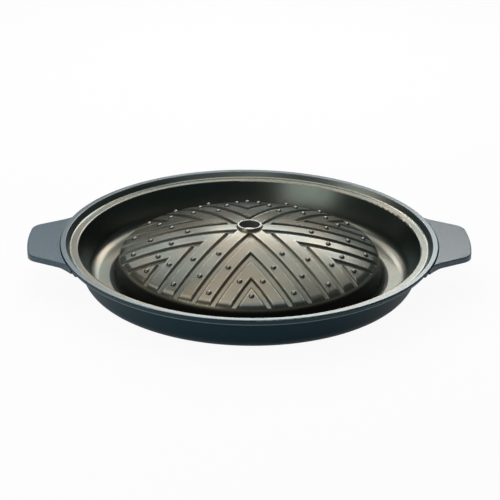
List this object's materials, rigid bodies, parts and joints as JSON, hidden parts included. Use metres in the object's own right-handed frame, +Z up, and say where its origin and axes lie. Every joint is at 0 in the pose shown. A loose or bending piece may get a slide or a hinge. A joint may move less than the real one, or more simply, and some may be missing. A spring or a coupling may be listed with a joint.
{
  "type": "grill pan",
  "caption": "Round cast grill pan: grooved and dimpled dome with a vent hole at its crown, a broth moat around it, a stepped rim and flat moulded side handles.",
  "frame": {"origin": "centre of the flat bottom ring, on the surface that the pan stands on", "axes": "+Z up through the hole at the crown, +X towards the right handle, +Y towards the back"},
  "size_m": [0.3752, 0.3198, 0.0502],
  "materials": {
    "non_stick_casting": "cast aluminium under a satin dark grey non-stick coat",
    "handle_moulding": "matte slate grey heat-proof moulding with a fine stipple",
    "screw_steel": "zinc-plated steel",
    "spring_steel": "darker, oiled spring steel"
  },
  "bodies": {
    "root": {"pan_body": "non_stick_casting", "handle_right": "handle_moulding", "handle_left": "handle_moulding", "handle_screw_right_front": "screw_steel", "handle_screw_right_rear": "screw_steel", "handle_screw_left_front": "screw_steel", "handle_screw_left_rear": "screw_steel", "spring_washer_right_front": "spring_steel", "spring_washer_right_rear": "spring_steel", "spring_washer_left_front": "spring_steel", "spring_washer_left_rear": "spring_steel", "plain_washer_right_front": "screw_steel", "plain_washer_right_rear": "screw_steel", "plain_washer_left_front": "screw_steel", "plain_washer_left_rear": "screw_steel"}
  },
  "joints": []
}
